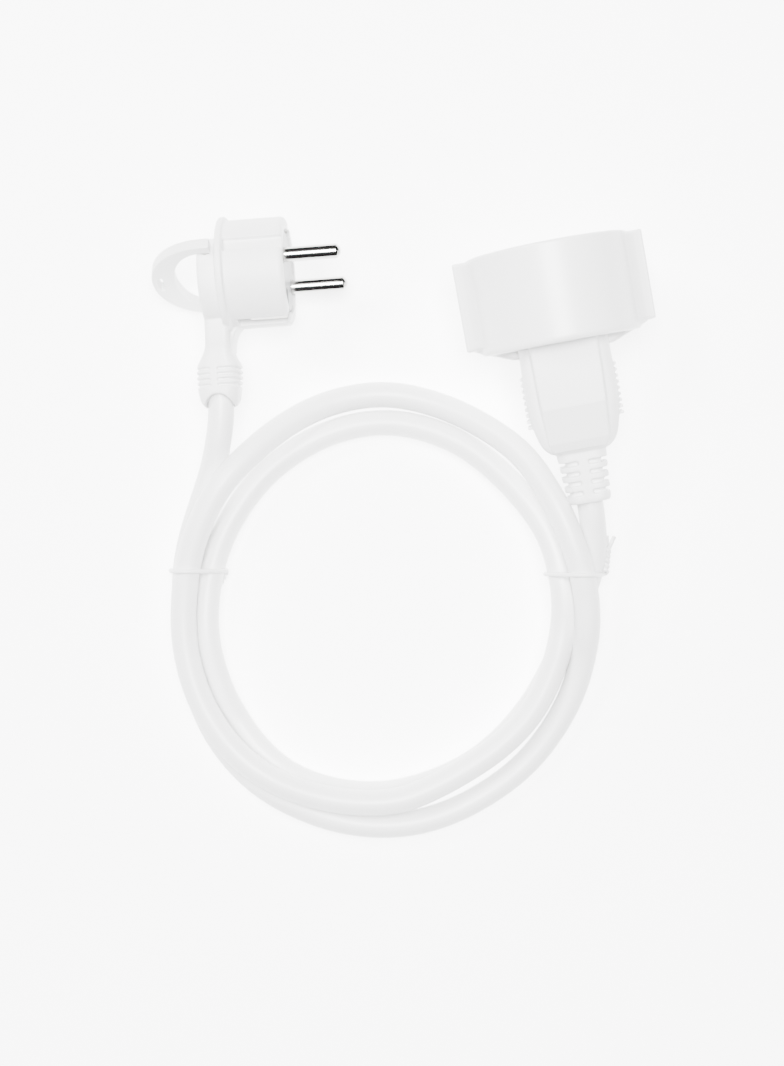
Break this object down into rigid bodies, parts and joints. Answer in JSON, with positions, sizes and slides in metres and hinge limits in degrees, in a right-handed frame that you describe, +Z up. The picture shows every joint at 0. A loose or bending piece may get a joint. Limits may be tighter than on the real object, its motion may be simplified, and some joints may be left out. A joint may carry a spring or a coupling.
{
  "type": "extension cord",
  "caption": "White indoor extension cord: angled earthed plug with folding pull ring, coiled round cable held by twist ties, and in-line earthed socket connector.",
  "frame": {"origin": "on the table, under the middle of the box around the plug and the connector", "axes": "+X from the plug towards the connector, +Y away from the coil, +Z up from the table"},
  "size_m": [0.166, 0.2072, 0.0557],
  "materials": {
    "soft_white": "soft white moulded vinyl with a satin surface",
    "hard_white": "hard white moulded plastic with a low gloss",
    "cable_white": "smooth white vinyl cable sheath",
    "tie_white": "plastic coat over thin wire",
    "grey_white": "hard light grey carrier plastic",
    "nickel": "bright nickel plate over brass",
    "brass": "plain pressed brass",
    "wire_brown": "brown insulation",
    "wire_blue": "blue insulation",
    "wire_earth": "green and yellow insulation"
  },
  "bodies": {
    "root": {"plug_body": "soft_white", "plug_carrier": "grey_white", "plug_pin_live": "nickel", "plug_pin_neutral": "nickel", "plug_earth_strap": "nickel", "plug_earth_sleeve": "nickel", "plug_wire_brown": "wire_brown", "plug_wire_blue": "wire_blue", "plug_wire_earth": "wire_earth", "cable_plug_lead": "cable_white", "cable_coil": "cable_white", "cable_connector_lead": "cable_white", "tie_left": "tie_white", "tie_right": "tie_white", "connector_housing": "hard_white", "connector_grip": "soft_white", "connector_insert": "hard_white", "connector_insert_cap": "grey_white", "connector_contact_live": "brass", "connector_contact_neutral": "brass", "connector_earth_bow": "nickel", "connector_wire_brown": "wire_brown", "connector_wire_blue": "wire_blue", "connector_wire_earth": "wire_earth"},
    "pull_ring": {"pull_ring": "soft_white"}
  },
  "joints": [
    {"name": "pull_ring_fold", "type": "hinge", "parent": "root", "child": "pull_ring", "pos_m": [-0.06248, 0.02908, 0.01896], "axis": [0.0904, -0.4177, -0.9041], "range_deg": [0, 90]}
  ]
}
